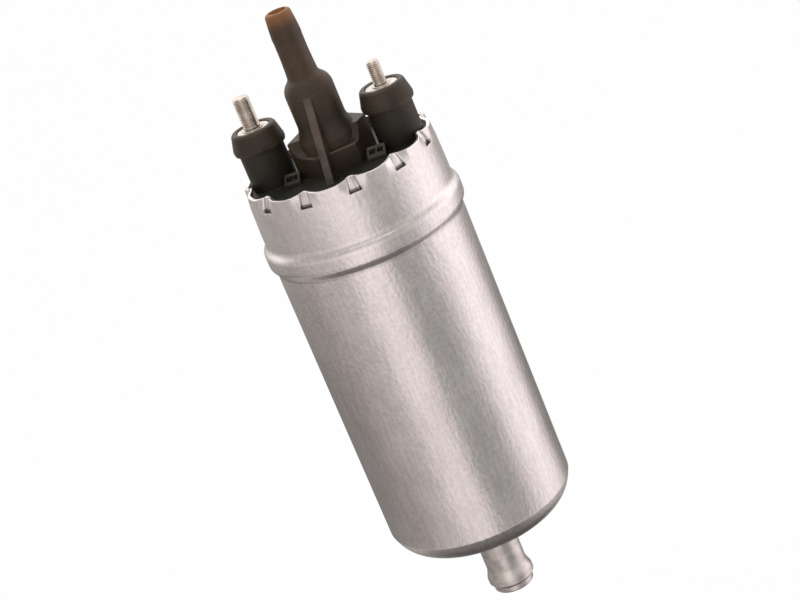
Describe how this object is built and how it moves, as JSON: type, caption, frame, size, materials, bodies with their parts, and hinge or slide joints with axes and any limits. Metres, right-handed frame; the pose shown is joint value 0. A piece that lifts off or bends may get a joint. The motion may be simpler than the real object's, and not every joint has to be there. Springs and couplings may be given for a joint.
{
  "type": "fuel pump",
  "caption": "Inline electric fuel pump: crimped aluminium can, moulded end cap with terminal studs and outlet nipple, beaded inlet nipple, and a motor driving a gear stage inside.",
  "frame": {"origin": "on the can's axis, halfway along the straight stretch that the mounting band grips", "axes": "+Z along the can's axis to the outlet nipple; the terminal studs stand on the X axis, the larger one at -X; the end cap's fin points to -Y"},
  "size_m": [0.0546, 0.0546, 0.1744],
  "materials": {
    "can_aluminium": "satin, drawn",
    "inlet_steel": "bright zinc plate",
    "cap_plastic": "moulded, satin",
    "nipple_plastic": "moulded, satin",
    "stud_steel": "bright nickel plate",
    "seal_rubber": "moulded",
    "strainer_steel": "woven",
    "stage_aluminium": "machined",
    "gear_steel": "sintered",
    "screw_steel": "zinc plate",
    "valve_brass": "turned",
    "spring_steel": "drawn wire",
    "bearing_bronze": "sintered",
    "coupling_plastic": "moulded",
    "shaft_steel": "ground",
    "core_steel": "stamped laminations",
    "winding_copper": "enamelled wire",
    "commutator_copper": "turned",
    "flux_steel": "rolled",
    "magnet_ferrite": "ground",
    "carrier_plastic": "moulded",
    "brush_carbon": "pressed",
    "strip_brass": "stamped",
    "valve_plastic": "moulded"
  },
  "bodies": {
    "housing": {"can": "can_aluminium", "inlet_fitting": "inlet_steel", "inlet_seal": "seal_rubber", "inlet_strainer": "strainer_steel", "pump_inlet_plate": "stage_aluminium", "pump_ring": "stage_aluminium", "pump_outlet_plate": "stage_aluminium", "pump_screws": "screw_steel", "relief_valve_seat": "valve_brass", "relief_valve_spring": "spring_steel", "lower_bearing": "bearing_bronze", "upper_bearing": "bearing_bronze", "flux_ring": "flux_steel", "magnet_front": "magnet_ferrite", "magnet_rear": "magnet_ferrite", "magnet_clips": "spring_steel", "brush_carrier": "carrier_plastic", "terminal_seals": "seal_rubber", "end_cap": "cap_plastic", "cap_seal": "seal_rubber", "outlet_nipple": "nipple_plastic", "check_valve_seat": "valve_brass", "check_valve_spring": "spring_steel", "check_valve_guide": "valve_plastic", "brush_spring_left": "spring_steel", "contact_strip_left": "strip_brass", "choke_left": "winding_copper", "terminal_stud_left": "stud_steel", "terminal_washer_left": "stud_steel", "brush_spring_right": "spring_steel", "contact_strip_right": "strip_brass", "choke_right": "winding_copper", "terminal_stud_right": "stud_steel", "terminal_washer_right": "stud_steel"},
    "armature": {"armature_shaft": "shaft_steel", "armature_core": "core_steel", "armature_windings": "winding_copper", "commutator": "commutator_copper", "thrust_washer": "coupling_plastic", "drive_coupling": "coupling_plastic", "gear_inner": "gear_steel"},
    "outer_gear": {"gear_outer": "gear_steel"},
    "check_valve": {"check_valve_poppet": "valve_plastic"},
    "relief_valve": {"relief_valve_ball": "shaft_steel"},
    "brush_left": {"brush_left": "brush_carbon"},
    "brush_right": {"brush_right": "brush_carbon"}
  },
  "joints": [
    {"name": "armature_spin", "type": "hinge", "parent": "housing", "child": "armature", "pos_m": [0, 0, 0], "axis": [0, 0, 1], "continuous": true},
    {"name": "outer_gear_spin", "type": "hinge", "parent": "housing", "child": "outer_gear", "pos_m": [0.0011, 0, 0], "axis": [0, 0, 1], "continuous": true},
    {"name": "check_valve_lift", "type": "slide", "parent": "housing", "child": "check_valve", "axis": [0, 0, 1], "range_m": [0, 0.002], "stiffness_N_per_m": 60, "springref_m": -0.003, "deforming": ["check_valve_spring"]},
    {"name": "relief_valve_lift", "type": "slide", "parent": "housing", "child": "relief_valve", "axis": [0, 0, -1], "range_m": [0, 0.0015], "stiffness_N_per_m": 500, "springref_m": -0.002, "deforming": ["relief_valve_spring"]},
    {"name": "brush_left_lift", "type": "slide", "parent": "housing", "child": "brush_left", "axis": [0, 0, 1], "range_m": [0, 0.0025], "stiffness_N_per_m": 150, "springref_m": -0.004, "deforming": ["brush_spring_left"]},
    {"name": "brush_right_lift", "type": "slide", "parent": "housing", "child": "brush_right", "axis": [0, 0, 1], "range_m": [0, 0.0025], "stiffness_N_per_m": 150, "springref_m": -0.004, "deforming": ["brush_spring_right"]}
  ],
  "couplings": [
    {"joint": "outer_gear_spin", "follows": "armature_spin", "ratio": 0.85714}
  ]
}
